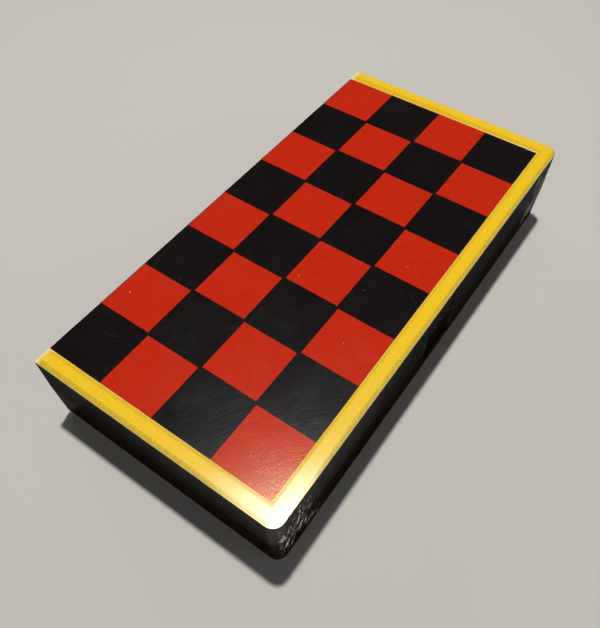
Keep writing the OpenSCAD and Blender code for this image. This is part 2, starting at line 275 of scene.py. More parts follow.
class EffectKit:
    """Builds each shared effect once, as a node group with named inputs and outputs."""

    def __init__(self) -> None:
        """Starts with no group built."""
        self.built: dict[Effect, bpy.types.NodeTree] = {}
        self.makers = {
            Effect.UNROLL: self._unroll,
            Effect.PEEL: self._peel,
            Effect.HAIRLINES: self._hairlines,
            Effect.SPECKS: self._specks,
            Effect.SMEAR: self._smear,
            Effect.EDGE_RUB: self._edge_rub,
            Effect.GRAIN: self._grain,
            Effect.WIPED: self._wiped,
        }

    def use(self, graph: Graph, effect: Effect, **inputs: Feed) -> Socket:
        """Places an effect in a material.

        Args:
            graph: The material's graph.
            effect: Which effect.
            **inputs: Its inputs, by their names in small letters.

        Returns:
            The effect's output.
        """
        if effect not in self.built:
            self.makers[effect]()
        node = graph.add("ShaderNodeGroup", node_tree=self.built[effect])
        for name, value in inputs.items():
            graph.feed(node.inputs[name.title()], value)
        return node.outputs[0]

    def _start(self, effect: Effect, inputs: dict[str, float | str],
               output: tuple[str, str]) -> tuple[Graph, dict[str, Socket], Socket]:
        """Makes a group's shell.

        Args:
            effect: Which effect it is.
            inputs: Each input's name with its default number, or "vector".
            output: The output's name and socket type.

        Returns:
            Its graph, its inputs by name, and its output socket.
        """
        tree = bpy.data.node_groups.new(effect.value, "ShaderNodeTree")
        for name, default in inputs.items():
            kind = "NodeSocketVector" if default == "vector" else "NodeSocketFloat"
            made = tree.interface.new_socket(name, in_out="INPUT", socket_type=kind)
            if kind == "NodeSocketFloat":
                made.default_value = default
        tree.interface.new_socket(output[0], in_out="OUTPUT", socket_type=output[1])
        graph = Graph(tree)
        source = graph.add("NodeGroupInput").outputs
        sink = graph.add("NodeGroupOutput").inputs[0]
        self.built[effect] = tree
        return graph, {name: source[name] for name in inputs}, sink

    def _unroll(self) -> None:
        """Surface: the point on the face's own plane, for effects that lie flat on it."""
        g, _, out = self._start(Effect.UNROLL, {}, ("Surface", "NodeSocketVector"))
        x, y, z = g.parts(g.here())
        nx, ny, nz = g.slants()
        flat = g.math("GREATER_THAN", nz, g.math("MAXIMUM", nx, ny))
        side = g.math("GREATER_THAN", nx, ny)
        g.feed(out, g.joined(g.pick(flat, x, g.pick(side, y, x)), g.pick(flat, y, z)))

    def _peel(self) -> None:
        """Height: the soft waves of a sprayed or moulded gloss, with finer ones on them."""
        g, i, out = self._start(Effect.PEEL, {"Scale": 1100.0, "Fine": 0.3}, ("Height", "NodeSocketFloat"))
        finer = 2.7
        broad = g.noise(g.here(), i["Scale"], 1.0)
        fine = g.noise(g.here(), g.math("MULTIPLY", i["Scale"], finer), 2.0)
        g.feed(out, g.math("MULTIPLY_ADD", fine, i["Fine"], broad))

    def _cells(self, g: Graph, i: dict[str, Socket]) -> tuple[Socket, bpy.types.NodeOutputs]:
        """Parts the surface into random cells.

        Args:
            g: The group's graph.
            i: Its inputs, Surface and Cell among them.

        Returns:
            The point in units of a cell, and the cell texture's outputs.
        """
        at = g.vector("DIVIDE", i["Surface"], g.joined(i["Cell"], i["Cell"], 1.0))
        cells = g.add("ShaderNodeTexVoronoi", {"Vector": at, "Scale": 1.0}, voronoi_dimensions="2D")
        return at, cells.outputs

    def _hairlines(self) -> None:
        """Mask: short thin scratches, one to a cell, each with its own turn, length and bow."""
        g, i, out = self._start(
            Effect.HAIRLINES,
            {"Surface": "vector", "Cell": 0.006, "Width": 0.00005, "Share": 0.5, "Turn": 0.0, "Spread": 3.14},
            ("Mask", "NodeSocketFloat"))
        half_lengths, tapered, strengths = (0.12, 0.47), 0.3, (0.3, 1.0)
        at, cell = self._cells(g, i)
        pick, lean, size = g.parts(cell["Color"])
        turn = g.math("MULTIPLY_ADD", g.math("SUBTRACT", lean, 0.5), i["Spread"], i["Turn"])
        along, across, _ = g.parts(g.turned(g.vector("SUBTRACT", at, cell["Position"]), turn))
        bow = g.times(along, along, g.math("SUBTRACT", size, 0.5))
        apart = g.math("MULTIPLY", g.math("ABSOLUTE", g.math("SUBTRACT", across, bow)), i["Cell"])
        reach = g.span(size, *half_lengths)
        ends = g.step(g.math("ABSOLUTE", along), reach, g.math("MULTIPLY", reach, tapered))
        line = g.step(apart, i["Width"], 0.0)
        present = g.math("LESS_THAN", pick, i["Share"])
        g.feed(out, g.times(ends, line, present, g.span(size, *strengths)))

    def _specks(self) -> None:
        """Mask: small round specks of dust or chipped print, at most one to a cell."""
        g, i, out = self._start(
            Effect.SPECKS, {"Surface": "vector", "Cell": 0.01, "Size": 0.0002, "Share": 0.3},
            ("Mask", "NodeSocketFloat"))
        sizes, core = (0.4, 1.2), 0.5
        _, cell = self._cells(g, i)
        pick, size, _ = g.parts(cell["Color"])
        radius = g.times(i["Size"], g.span(size, *sizes))
        away = g.math("MULTIPLY", cell["Distance"], i["Cell"])
        dot = g.step(away, radius, g.math("MULTIPLY", radius, core))
        g.feed(out, g.times(dot, g.math("LESS_THAN", pick, i["Share"])))

    def _smear(self) -> None:
        """Value: broad, soft patches where hands and cloths have been."""
        g, i, out = self._start(Effect.SMEAR, {"Scale": 35.0}, ("Value", "NodeSocketFloat"))
        wiped_way, finer = (0.35, 2.2, 1.0), 3.1
        patchy, streaky = (0.35, 0.7), (0.3, 0.75)
        patch = g.noise(g.here(), i["Scale"], 4.0, 0.6)
        wiped = g.noise(g.vector("MULTIPLY", g.here(), wiped_way), g.math("MULTIPLY", i["Scale"], finer), 3.0)
        g.feed(out, g.times(g.step(patch, *patchy), g.step(wiped, *streaky)))

    def _edge_rub(self) -> None:
        """Mask: where an edge is rubbed, broken up along its length."""
        g, i, out = self._start(
            Effect.EDGE_RUB, {"Width": 0.0004, "Breaks": 900.0}, ("Mask", "NodeSocketFloat"))
        bent, unbroken = (0.99, 0.8), (0.42, 0.66)
        eased = g.add("ShaderNodeBevel", {"Radius": i["Width"]}, samples=4).outputs[0]
        true = g.add("ShaderNodeNewGeometry").outputs["Normal"]
        match = g.add("ShaderNodeVectorMath", {0: eased, 1: true}, operation="DOT_PRODUCT").outputs["Value"]
        left = g.step(g.noise(g.here(), i["Breaks"], 3.0), *unbroken)
        g.feed(out, g.times(g.step(match, *bent), left))

    def _grain(self) -> None:
        """Height: the fine stipple of a satin mould."""
        g, i, out = self._start(Effect.GRAIN, {"Scale": 3500.0}, ("Height", "NodeSocketFloat"))
        waves = 0.6
        pits = g.add("ShaderNodeTexVoronoi", {"Vector": g.here(), "Scale": i["Scale"]}).outputs["Distance"]
        g.feed(out, g.math("MULTIPLY_ADD", g.noise(g.here(), i["Scale"], 2.0), waves, pits))

    def _wiped(self) -> None:
        """Mask: bundles of very fine parallel streaks, as a cloth leaves them, in soft patches."""
        g, i, out = self._start(
            Effect.WIPED, {"Surface": "vector", "Turn": 0.0, "Fine": 3000.0, "Drawn": 110.0, "Patch": 45.0},
            ("Mask", "NodeSocketFloat"))
        bows, bowed_by, apart = 12.0, 12 * MM, 0.37
        streaky, patchy = (0.48, 0.74), (0.36, 0.72)
        turned = g.turned(i["Surface"], i["Turn"])
        along, across, _ = g.parts(turned)
        bowed = g.math("MULTIPLY_ADD", g.noise(turned, bows, 1.0), bowed_by, across)
        streak = g.drawn((along, i["Drawn"]), (bowed, i["Fine"]), octaves=3.0)
        patch = g.noise(g.vector("ADD", turned, g.joined(i["Turn"], apart)), i["Patch"], 2.0, 0.6)
        g.feed(out, g.times(g.step(streak, *streaky), g.step(patch, *patchy)))


KIT = EffectKit()


@dataclass(frozen=True)
class Pattern:
    """A shared effect with one finish's values: its fields are the group's inputs."""

    effect: ClassVar[Effect]

    def on(self, graph: Graph, **places: Socket) -> Socket:
        """Places the effect.

        Args:
            graph: The material's graph.
            **places: The inputs that are sockets, by name.

        Returns:
            The effect's output.
        """
        return KIT.use(graph, self.effect, **places, **asdict(self))


@dataclass(frozen=True)
class Peel(Pattern):
    """Soft waves: how many to the metre, and how strong the finer ones are."""

    effect: ClassVar[Effect] = Effect.PEEL
    scale: float
    fine: float


@dataclass(frozen=True)
class Hairlines(Pattern):
    """Scratches: their cells' size, their width, the share of cells with one, and how they lie."""

    effect: ClassVar[Effect] = Effect.HAIRLINES
    cell: float
    width: float
    share: float
    turn: float = 0.0
    spread: float = 3.14


@dataclass(frozen=True)
class Specks(Pattern):
    """Specks: their cells' size, their radius, and the share of cells with one."""

    effect: ClassVar[Effect] = Effect.SPECKS
    cell: float
    size: float
    share: float


@dataclass(frozen=True)
class Smear(Pattern):
    """Smears of hands: how many to the metre."""

    effect: ClassVar[Effect] = Effect.SMEAR
    scale: float


@dataclass(frozen=True)
class EdgeRub(Pattern):
    """Rubbed edges: how wide, and how many breaks to the metre."""

    effect: ClassVar[Effect] = Effect.EDGE_RUB
    width: float
    breaks: float


@dataclass(frozen=True)
class Wiping(Pattern):
    """Wiping streaks: which way, how fine across, how drawn out along, and how patchy."""

    effect: ClassVar[Effect] = Effect.WIPED
    turn: float
    fine: float = 3000.0
    drawn: float = 110.0
    patch: float = 45.0


@dataclass(frozen=True)
class Cloud:
    """Patches that one finish has for itself: a noise, and the values between which it fades in."""

    scale: float
    octaves: float
    low: float
    high: float
    rough: float = 0.5

    def on(self, graph: Graph) -> Socket:
        """Returns the mask at the point in the object's own frame."""
        noise = graph.noise(graph.here(), self.scale, self.octaves, self.rough)
        return graph.step(noise, self.low, self.high)


@dataclass(frozen=True)
class Finish:
    """A finish: the plain numbers of its shader, and a method that adds what varies."""

    slot: str
    colour: Colour
    roughness: float
    ior_level: float = 0.5
    tint: Colour = (1.0, 1.0, 1.0)
    metal: float = 0.0
    variant: str = ""

    def material(self) -> bpy.types.Material:
        """Builds the material, or finds it if it is built.

        Returns:
            The material.
        """
        label = f"{self.slot}{self.variant}_finish"
        made = bpy.data.materials.get(label)
        if made:
            return made
        made = bpy.data.materials.new(label)
        made.use_nodes = True
        made.node_tree.nodes.clear()
        graph = Graph(made.node_tree)
        shader = graph.add("ShaderNodeBsdfPrincipled", {
            "Base Color": (*self.colour, 1.0), "Roughness": self.roughness, "Metallic": self.metal,
            "Specular IOR Level": self.ior_level, "Specular Tint": (*self.tint, 1.0)})
        self.vary(graph, shader)
        graph.add("ShaderNodeOutputMaterial", {"Surface": shader.outputs[0]})
        return made

    def vary(self, graph: Graph, shader: bpy.types.Node) -> None:
        """Adds the colour, gloss and relief that vary over the surface.

        Args:
            graph: The material's graph.
            shader: Its principled shader.
        """
        raise NotImplementedError

    @staticmethod
    def coat(graph: Graph, shader: bpy.types.Node, colour: Socket, rough: Socket) -> None:
        """Feeds the shader its colour and its roughness."""
        graph.feed(shader.inputs["Base Color"], colour)
        graph.feed(shader.inputs["Roughness"], rough)

    @staticmethod
    def bump(graph: Graph, shader: bpy.types.Node, height: Socket, depth: float) -> bpy.types.Node:
        """Gives the shader a relief.

        Args:
            graph: The material's graph.
            shader: Its principled shader.
            height: The relief, about 0 to 1.
            depth: How deep 1 is, in metres.

        Returns:
            The bump node.
        """
        relief = graph.add("ShaderNodeBump", {"Height": height, "Distance": depth, "Strength": 1.0})
        graph.feed(shader.inputs["Normal"], relief.outputs[0])
        return relief


@dataclass(frozen=True)
class CornerScuffs:
    """Whitish scuff strokes at both corners of the case's latch wall, pale enough to paint their glint as
    well, and a haze at the far one that is partly wear and partly painted sheen.
    """

    wall_x: float = 50 * MM
    squarely: Range = (0.75, 0.92)
    from_y: float = 82 * MM
    full_y: float = 98 * MM
    level: float = 20 * MM
    half_height: float = 16 * MM
    core: float = 0.55
    ragged_scale: float = 110.0
    ragged_by: float = 40 * MM
    far_strokes: float = 0.25
    lean: float = 0.32
    broad_scale: Range = (620.0, 150.0)
    broad_step: Range = (0.56, 0.64)
    thin_scale: Range = (1900.0, 240.0)
    thin_step: Range = (0.57, 0.67)
    thin_share: float = 0.7
    breaks: Cloud = Cloud(900.0, 2.0, 0.38, 0.55, 0.6)
    clouds: Cloud = Cloud(190.0, 4.0, 0.36, 0.66, 0.65)

    def on(self, graph: Graph) -> tuple[Socket, Socket]:
        """Finds the scuffs of the latch wall.

        Args:
            graph: The material's graph.

        Returns:
            The mask of the strokes, weaker at the far corner, and that of the far corner's haze, which is
            partly painted sheen.
        """
        x, y, z = graph.parts(graph.here())
        on_wall = graph.times(graph.step(graph.parts(graph.facing())[0], *self.squarely),
                              graph.math("GREATER_THAN", x, self.wall_x))
        uneven = graph.math("SUBTRACT", graph.noise(graph.here(), self.ragged_scale, 3.0, 0.6), 0.5)
        ragged = graph.math("MULTIPLY", uneven, self.ragged_by)
        off = graph.sum(graph.math("ABSOLUTE", graph.math("SUBTRACT", z, self.level)), ragged)
        band = graph.step(off, self.half_height, self.core * self.half_height)
        along = graph.math("SUBTRACT", graph.math("ABSOLUTE", y), ragged)
        corner = graph.times(on_wall, band, graph.step(along, self.from_y, self.full_y))
        far = graph.math("GREATER_THAN", y, 0.0)
        return (graph.times(self.strokes(graph), corner, graph.span(far, 1.0, self.far_strokes)),
                graph.times(corner, far, self.clouds.on(graph)))

    def strokes(self, graph: Graph) -> Socket:
        """Draws the broken, leaning strokes.

        Args:
            graph: The material's graph.

        Returns:
            Their mask.
        """
        _, y, z = graph.parts(graph.here())
        leaning = graph.math("MULTIPLY_ADD", z, -self.lean, y)
        broad, thin = (graph.step(graph.drawn((leaning, scale[0]), (z, scale[1]), octaves=1.0), *fade)
                       for scale, fade in ((self.broad_scale, self.broad_step),
                                           (self.thin_scale, self.thin_step)))
        return graph.times(graph.sum(broad, graph.times(thin, self.thin_share)), self.breaks.on(graph))


@dataclass(frozen=True)
class CasePlastic(Finish):
    """Glossy moulded black, finely scratched, and scuffed at the latch side's corners, where the pale scuffs
    and the far corner's bluish haze also paint a glint and a sheen.
    """

    # Whitish wear, pale enough that the corner scuffs also paint their glint: partly painted highlight.
    worn: Colour = (0.92, 0.91, 0.89)
    # Bluish grey of the far corner's haze: partly wear, partly painted sheen.
    haze: Colour = (0.30, 0.34, 0.36)
    haze_share: float = 0.85
    rub_share: float = 0.08
    gloss_lost: float = 0.828
    gloss_full: float = 0.35
    gloss_least: float = 0.002
    relief: float = 0.02 * MM
    cut: float = 0.3
    smear: Smear = Smear(28.0)
    lines: Hairlines = Hairlines(5 * MM, 0.05 * MM, 0.35)
    wiping: Wiping = Wiping(1.45, fine=1800.0)
    rub: EdgeRub = EdgeRub(0.35 * MM, 700.0)
    specks: Specks = Specks(9 * MM, 0.16 * MM, 0.2)
    peel: Peel = Peel(450.0, 0.15)
    scuffed: CornerScuffs = CornerScuffs()

    def vary(self, graph: Graph, shader: bpy.types.Node) -> None:
        """Adds waves, smears, scratches, rubbed edges and the corner scuffs, with the scuffs' glint and the
        far corner's sheen painted in.

        Args:
            graph: The material's graph.
            shader: Its principled shader.
        """
        flat = KIT.use(graph, Effect.UNROLL)
        smear = self.smear.on(graph)
        lines = self.lines.on(graph, surface=flat)
        streaks = self.wiping.on(graph, surface=flat)
        rub = self.rub.on(graph)
        specks = self.specks.on(graph, surface=flat)
        scuffs, far_sheen_haze = self.scuffed.on(graph)
        # Painted sheen: the far corner's haze lifts the black toward bluish grey; partly wear.
        base = graph.blend(graph.times(far_sheen_haze, self.haze_share), self.colour, self.haze)
        # The scuffs' pale colour is wear, bright enough to paint their glint too.
        worn = graph.layers((lines, 0.035), (rub, self.rub_share), (specks, 0.15), (scuffs, 0.95),
                            (streaks, 0.012), (smear, 0.002))
        rough = graph.layers((smear, 0.1), (lines, 0.12), (scuffs, 0.4), (far_sheen_haze, 0.15), start=self.roughness)
        self.coat(graph, shader, graph.blend(worn, base, self.worn), rough)
        graph.feed(shader.inputs["Specular IOR Level"], self.gloss(graph))
        cuts = graph.times(graph.sum(lines, scuffs), self.cut)
        self.bump(graph, shader, graph.math("SUBTRACT", self.peel.on(graph), cuts), self.relief)

    def gloss(self, graph: Graph) -> Socket:
        """Takes the gloss away at a grazing view, where the walls would mirror the pale floor.

        Args:
            graph: The material's graph.

        Returns:
            The specular level.
        """
        slant = graph.add("ShaderNodeLayerWeight", {"Blend": 0.5}).outputs["Facing"]
        return graph.span(graph.step(slant, self.gloss_lost, self.gloss_full),
                          self.gloss_least * self.ior_level, self.ior_level)


@dataclass(frozen=True)
class BoardLacquer(Finish):
    """Black lacquer on the board sheet: a faint peel, wiping streaks, fine grey scratches, and a painted
    sheen near the latch-side corner.
    """

    scratch: Colour = (0.30, 0.30, 0.31)
    wiped: Colour = (0.060, 0.066, 0.082)
    wiped_share: float = 0.085
    # Painted sheen: a bluish lift of the black near the latch-side corner, where the lamp's glossy haze
    # falls.
    film: Colour = (0.045, 0.058, 0.090)
    film_share: float = 0.12
    film_at: Spot = (46 * MM, -96 * MM)
    film_reach: float = 85 * MM
    film_core: float = 0.2
    film_cloud: Cloud = Cloud(70.0, 4.0, 0.30, 0.60, 0.6)
    relief: float = 0.014 * MM
    smoothed: float = 0.12
    long: Hairlines = Hairlines(14 * MM, 0.06 * MM, 0.45, 0.6, 2.2)
    short: Hairlines = Hairlines(4 * MM, 0.045 * MM, 0.6)
    specks: Specks = Specks(12 * MM, 0.2 * MM, 0.35)
    smear: Smear = Smear(40.0)
    wipings: tuple[Wiping, ...] = (Wiping(2.1), Wiping(2.4), Wiping(1.75))
    peel: Peel = Peel(1500.0, 0.6)

    def vary(self, graph: Graph, shader: bpy.types.Node) -> None:
        """Adds peel, streaks in three directions, scratches of two sizes, specks, smears, and the painted
        sheen.

        Args:
            graph: The material's graph.
            shader: Its principled shader.
        """
        flat = KIT.use(graph, Effect.UNROLL)
        long = self.long.on(graph, surface=flat)
        short = self.short.on(graph, surface=flat)
        specks = self.specks.on(graph, surface=flat)
        smear = self.smear.on(graph)
        streaks = graph.sum(*(wiping.on(graph, surface=flat) for wiping in self.wipings))
        # Painted sheen laid over the black.
        sheened = graph.blend(graph.times(self.filmy(graph), self.film_share), self.colour, self.film)
        base = graph.blend(graph.times(streaks, self.wiped_share), sheened, self.wiped)
        worn = graph.layers((long, 0.16), (short, 0.09), (specks, 0.5))
        rough = graph.layers((smear, 0.03), (streaks, 0.06), (long, 0.1), start=self.roughness)
        self.coat(graph, shader, graph.blend(worn, base, self.scratch), rough)
        height = graph.math("MULTIPLY_ADD", streaks, -self.smoothed, self.peel.on(graph))
        self.bump(graph, shader, height, self.relief)

    def filmy(self, graph: Graph) -> Socket:
        """Spreads the painted sheen: a bluish lift of the black in cloudy patches, strongest at the corner by
        the latch, where the lamp's glossy haze falls.

        Args:
            graph: The material's graph.

        Returns:
            Its mask.
        """
        near = graph.step(graph.away(self.film_at), self.film_reach, self.film_core * self.film_reach)
        return graph.times(near, self.film_cloud.on(graph))


@dataclass(frozen=True)
class PrintEnamel(Finish):
    """Red print under the lacquer, with a fine grain."""

    fleck: Colour = (0.80, 0.72, 0.66)
    deep: Colour = (0.46, 0.014, 0.0035)
    deep_share: float = 0.5
    bright: Colour = (0.64, 0.034, 0.011)
    bright_share: float = 0.35
    relief: float = 0.020 * MM
    grain_relief: float = 0.12
    ink: Cloud = Cloud(260.0, 4.0, 0.3, 0.7, 0.6)
    grain: Cloud = Cloud(2400.0, 1.0, 0.40, 0.72)
    lines: Hairlines = Hairlines(9 * MM, 0.05 * MM, 0.35)
    specks: Specks = Specks(16 * MM, 0.22 * MM, 0.3)
    wiping: Wiping = Wiping(2.2)
    smear: Smear = Smear(40.0)
    peel: Peel = Peel(1500.0, 0.9)

    def vary(self, graph: Graph, shader: bpy.types.Node) -> None:
        """Adds peel, uneven ink, grain, a few hairlines, faint wiping streaks and pale flecks.

        Args:
            graph: The material's graph.
            shader: Its principled shader.
        """
        flat = KIT.use(graph, Effect.UNROLL)
        grain = self.grain.on(graph)
        inked = graph.blend(graph.times(self.ink.on(graph), self.deep_share), self.colour, self.deep)
        base = graph.blend(graph.times(grain, self.bright_share), inked, self.bright)
        lines = self.lines.on(graph, surface=flat)
        specks = self.specks.on(graph, surface=flat)
        streaks = self.wiping.on(graph, surface=flat)
        worn = graph.layers((lines, 0.08), (specks, 0.8), (streaks, 0.02))
        rough = graph.layers((self.smear.on(graph), 0.03), (streaks, 0.06), start=self.roughness)
        self.coat(graph, shader, graph.blend(worn, base, self.fleck), rough)
        height = graph.math("MULTIPLY_ADD", grain, self.grain_relief, self.peel.on(graph))
        self.bump(graph, shader, height, self.relief)


@dataclass(frozen=True)
class RimFoil(Finish):
    """Yellow foil on the raised rim: comb-streaked thin on the slopes, the outer ones darker, which partly
    paints their shade; dull cream along both feet; painted highlights at the latch-side corner and the hinge
    end.
    """

    # Thin comb-streaked foil of the outer slopes, darker than the inner slopes' warm colour: partly painted
    # shade.
    combed: Colour = (0.42, 0.31, 0.045)
    warm: Colour = (0.68, 0.37, 0.012)
    outer_foot: Colour = (0.50, 0.42, 0.20)
    inner_foot: Colour = (0.74, 0.52, 0.12)
    # The painted highlight's colour, for the glare at the latch-side corner and the glint on the hinge end.
    cream: Colour = (0.90, 0.80, 0.42)
    middle: Spot = (51.1 * MM, 103.6 * MM)
    middle_fade: float = 0.4 * MM
    foot_depth: float = 1.27 * MM
    foot_fade: float = 0.15 * MM
    # Painted highlight: the hinge end's facet turns pale over this length.
    end_x: float = -51.8 * MM
    end_fade: float = 2.6 * MM
    end_share: float = 0.9
    # Painted glare: the rim turns pale around the latch-side corner, and its slopes shade flatter there.
    rubbed_at: Spot = (52 * MM, -104 * MM)
    rubbed_core: float = 8.75 * MM
    rubbed_reach: float = 28.75 * MM
    rubbed_share: float = 0.45
    crown: float = 7.0
    crown_power: float = 0.7
    least_crown: float = 2.0
    rubbed_crown: float = 6.0
    comb_scale: Range = (4200.0, 900.0)
    comb_reach: float = 0.25
    slope_step: Range = (0.96, 0.74)
    tooth_step: Range = (0.60, 0.42)
    teeth: Range = (0.22, 0.62)
    bared: Range = (0.45, 0.95)
    pale_gain: float = 1.16
    pale_lift: float = 0.012
    mottle_share: float = 0.7
    relief: float = 0.010 * MM
    mottle: Cloud = Cloud(2600.0, 1.0, 0.38, 0.66, 0.7)
    bare: Cloud = Cloud(320.0, 3.0, 0.35, 0.6)
    smear: Smear = Smear(50.0)
    peel: Peel = Peel(2200.0, 0.6)

    def vary(self, graph: Graph, shader: bpy.types.Node) -> None:
        """Adds the mottled top, the combed slopes, the dull feet, and the rubbed corner and end.

        Args:
            Adds the mottled top, the comb-streaked slopes, the dull feet, and the painted highlights: the
            glare at the latch-side corner and the glint on the hinge end.
            shader: Its principled shader.
        """
        x, _, z = graph.parts(graph.here())
        below_top = graph.math("SUBTRACT", RIM_TOP, graph.math("ABSOLUTE", graph.math("SUBTRACT", z, SEAM)))
        # Painted highlights: a pale glare round the latch-side corner and a pale glint on the hinge end.
        clear_of_glare = graph.step(graph.away(self.rubbed_at), self.rubbed_core, self.rubbed_reach)
        end_glint = graph.times(graph.step(x, self.end_x + self.end_fade, self.end_x), self.end_share)
        # This share paints the glare of the latch-side corner; it is not wear.
        rubbed = graph.times(graph.math("SUBTRACT", 1.0, clear_of_glare), self.rubbed_share)
        foiled = self.foil(graph, below_top, clear_of_glare)
        colour = graph.blend(graph.math("MAXIMUM", end_glint, rubbed), foiled, self.cream)
        rough = graph.layers((self.smear.on(graph), 0.06), start=self.roughness)
        self.coat(graph, shader, colour, rough)
        relief = self.bump(graph, shader, self.peel.on(graph), self.relief)
        graph.feed(relief.inputs["Normal"], self.crowned(graph, below_top, clear_of_glare))

    def foil(self, graph: Graph, below_top: Socket, clear_of_glare: Socket) -> Socket:
        """Colours the top, the slopes and the feet.

        Args:
            graph: The material's graph.
            below_top: How far the point is below the rim's top.
            clear_of_glare: Where the painted glare doesn't reach.

        Returns:
            The colour.
        """
        x, y, z = graph.parts(graph.here())
        nx, ny, nz = graph.slants()
        inner = graph.times(*(graph.step(value, middle, middle - self.middle_fade) for value, middle
                              in zip((x, graph.math("ABSOLUTE", y)), self.middle)))
        pale = tuple(min(1.0, part * self.pale_gain + self.pale_lift) for part in self.colour)
        top = graph.blend(graph.times(self.mottle.on(graph), self.mottle_share), self.colour, pale)
        along = graph.pick(graph.math("GREATER_THAN", nx, ny), y, x)
        comb = graph.drawn((along, self.comb_scale[0]), (z, self.comb_scale[1]), rough=0.6)
        uneven = graph.math("MULTIPLY_ADD", graph.math("SUBTRACT", comb, 0.5), self.comb_reach, nz)
        teeth = graph.span(graph.step(comb, *self.tooth_step), *self.teeth)
        thin = graph.times(graph.step(uneven, *self.slope_step), teeth, clear_of_glare)
        # The outer slopes take the darker colour and the inner ones the warm: thin foil, and partly painted
        # shade of the outer slopes.
        sides = graph.blend(thin, top, graph.blend(inner, self.combed, self.warm))
        at_foot = graph.step(below_top, self.foot_depth - self.foot_fade, self.foot_depth)
        bare = graph.span(self.bare.on(graph), *self.bared)
        foot = graph.blend(inner, self.outer_foot, self.inner_foot)
        return graph.blend(graph.times(at_foot, bare, clear_of_glare), sides, foot)

    def crowned(self, graph: Graph, below_top: Socket, clear_of_glare: Socket) -> Socket:
        """Turns the slopes' normals toward the top's, ever less downward, so that it shades as a bead.

        Args:
            graph: The material's graph.
            below_top: How far the point is below the rim's top.
            clear_of_glare: Where the painted glare doesn't reach.

        Returns:
            The normal.
        """
        facing = graph.facing()
        _, _, nz = graph.parts(facing)
        share = graph.math("POWER", graph.step(below_top, self.foot_depth, 0.0), self.crown_power)
        least = graph.span(clear_of_glare, self.rubbed_crown, self.least_crown)
        crown = graph.math("MULTIPLY_ADD", share, self.crown, least)
        up = graph.joined(0.0, 0.0, graph.times(graph.math("SIGN", nz), crown))
        mixed = graph.vector("NORMALIZE", graph.vector("ADD", facing, up))
        turn = graph.add("ShaderNodeVectorTransform", {"Vector": mixed}, vector_type="NORMAL",
                         convert_from="OBJECT", convert_to="WORLD")
        return turn.outputs[0]


@dataclass(frozen=True)
class PinSteel(Finish):
    """Drawn steel wire."""

    tarnish: Colour = (0.30, 0.28, 0.26)
    tarnish_share: float = 0.5
    across: float = 6000.0
    along: float = 60.0
    uneven: float = 0.2
    relief: float = 0.004 * MM
    stain: Cloud = Cloud(500.0, 4.0, 0.5, 0.75)

    def vary(self, graph: Graph, shader: bpy.types.Node) -> None:
        """Adds drawing lines along the wire and a little tarnish.

        Args:
            graph: The material's graph.
            shader: Its principled shader.
        """
        x, y, z = graph.parts(graph.here())
        drawn = graph.drawn((x, self.across), (y, self.along), (z, self.across))
        stained = graph.times(self.stain.on(graph), self.tarnish_share)
        rough = graph.span(drawn, self.roughness, self.roughness + self.uneven)
        self.coat(graph, shader, graph.blend(stained, self.colour, self.tarnish), rough)
        self.bump(graph, shader, drawn, self.relief)


@dataclass(frozen=True)
class TrayPlastic(Finish):
    """Satin black with a fine stipple."""

    dust: Colour = (0.16, 0.155, 0.15)
    relief: float = 0.02 * MM
    rub: EdgeRub = EdgeRub(0.4 * MM, 600.0)
    lines: Hairlines = Hairlines(6 * MM, 0.06 * MM, 0.4)
    haze: Cloud = Cloud(60.0, 5.0, 0.45, 0.8, 0.65)
    pits: float = 3200.0

    def vary(self, graph: Graph, shader: bpy.types.Node) -> None:
        """Adds stipple, faint dust and rubbed edges.

        Args:
            graph: The material's graph.
            shader: Its principled shader.
        """
        flat = KIT.use(graph, Effect.UNROLL)
        haze = self.haze.on(graph)
        lines = self.lines.on(graph, surface=flat)
        worn = graph.layers((self.rub.on(graph), 0.45), (lines, 0.35), (haze, 0.12))
        rough = graph.layers((haze, 0.08), start=self.roughness)
        self.coat(graph, shader, graph.blend(worn, self.colour, self.dust), rough)
        self.bump(graph, shader, KIT.use(graph, Effect.GRAIN, scale=self.pits), self.relief)


@dataclass(frozen=True)
class CheckerPlastic(Finish):
    """Moulded checker: softly glossy, rubbed on its ring and reeds."""

    rubbed: Colour = (0.5, 0.5, 0.5)
    flow: Colour = (0.1, 0.1, 0.1)
    flow_share: float = 0.4
    relief: float = 0.012 * MM
    swirl: Cloud = Cloud(180.0, 5.0, 0.4, 0.75, 0.7)
    rub: EdgeRub = EdgeRub(0.3 * MM, 1200.0)
    lines: Hairlines = Hairlines(3.5 * MM, 0.05 * MM, 0.45)
    peel: Peel = Peel(800.0, 0.3)

    def vary(self, graph: Graph, shader: bpy.types.Node) -> None:
        """Adds flow marks, rubbed edges and hairlines.

        Args:
            graph: The material's graph.
            shader: Its principled shader.
        """
        flat = KIT.use(graph, Effect.UNROLL)
        swirl = self.swirl.on(graph)
        lines = self.lines.on(graph, surface=flat)
        base = graph.blend(graph.times(swirl, self.flow_share), self.colour, self.flow)
        worn = graph.layers((self.rub.on(graph), 0.3), (lines, 0.18))
        rough = graph.layers((swirl, 0.08), (lines, 0.2), start=self.roughness)
        self.coat(graph, shader, graph.blend(worn, base, self.rubbed), rough)
        self.bump(graph, shader, self.peel.on(graph), self.relief)


CASE_BLACK = CasePlastic("case_black", (0.0100, 0.0069, 0.0055), 0.24, ior_level=0.36)
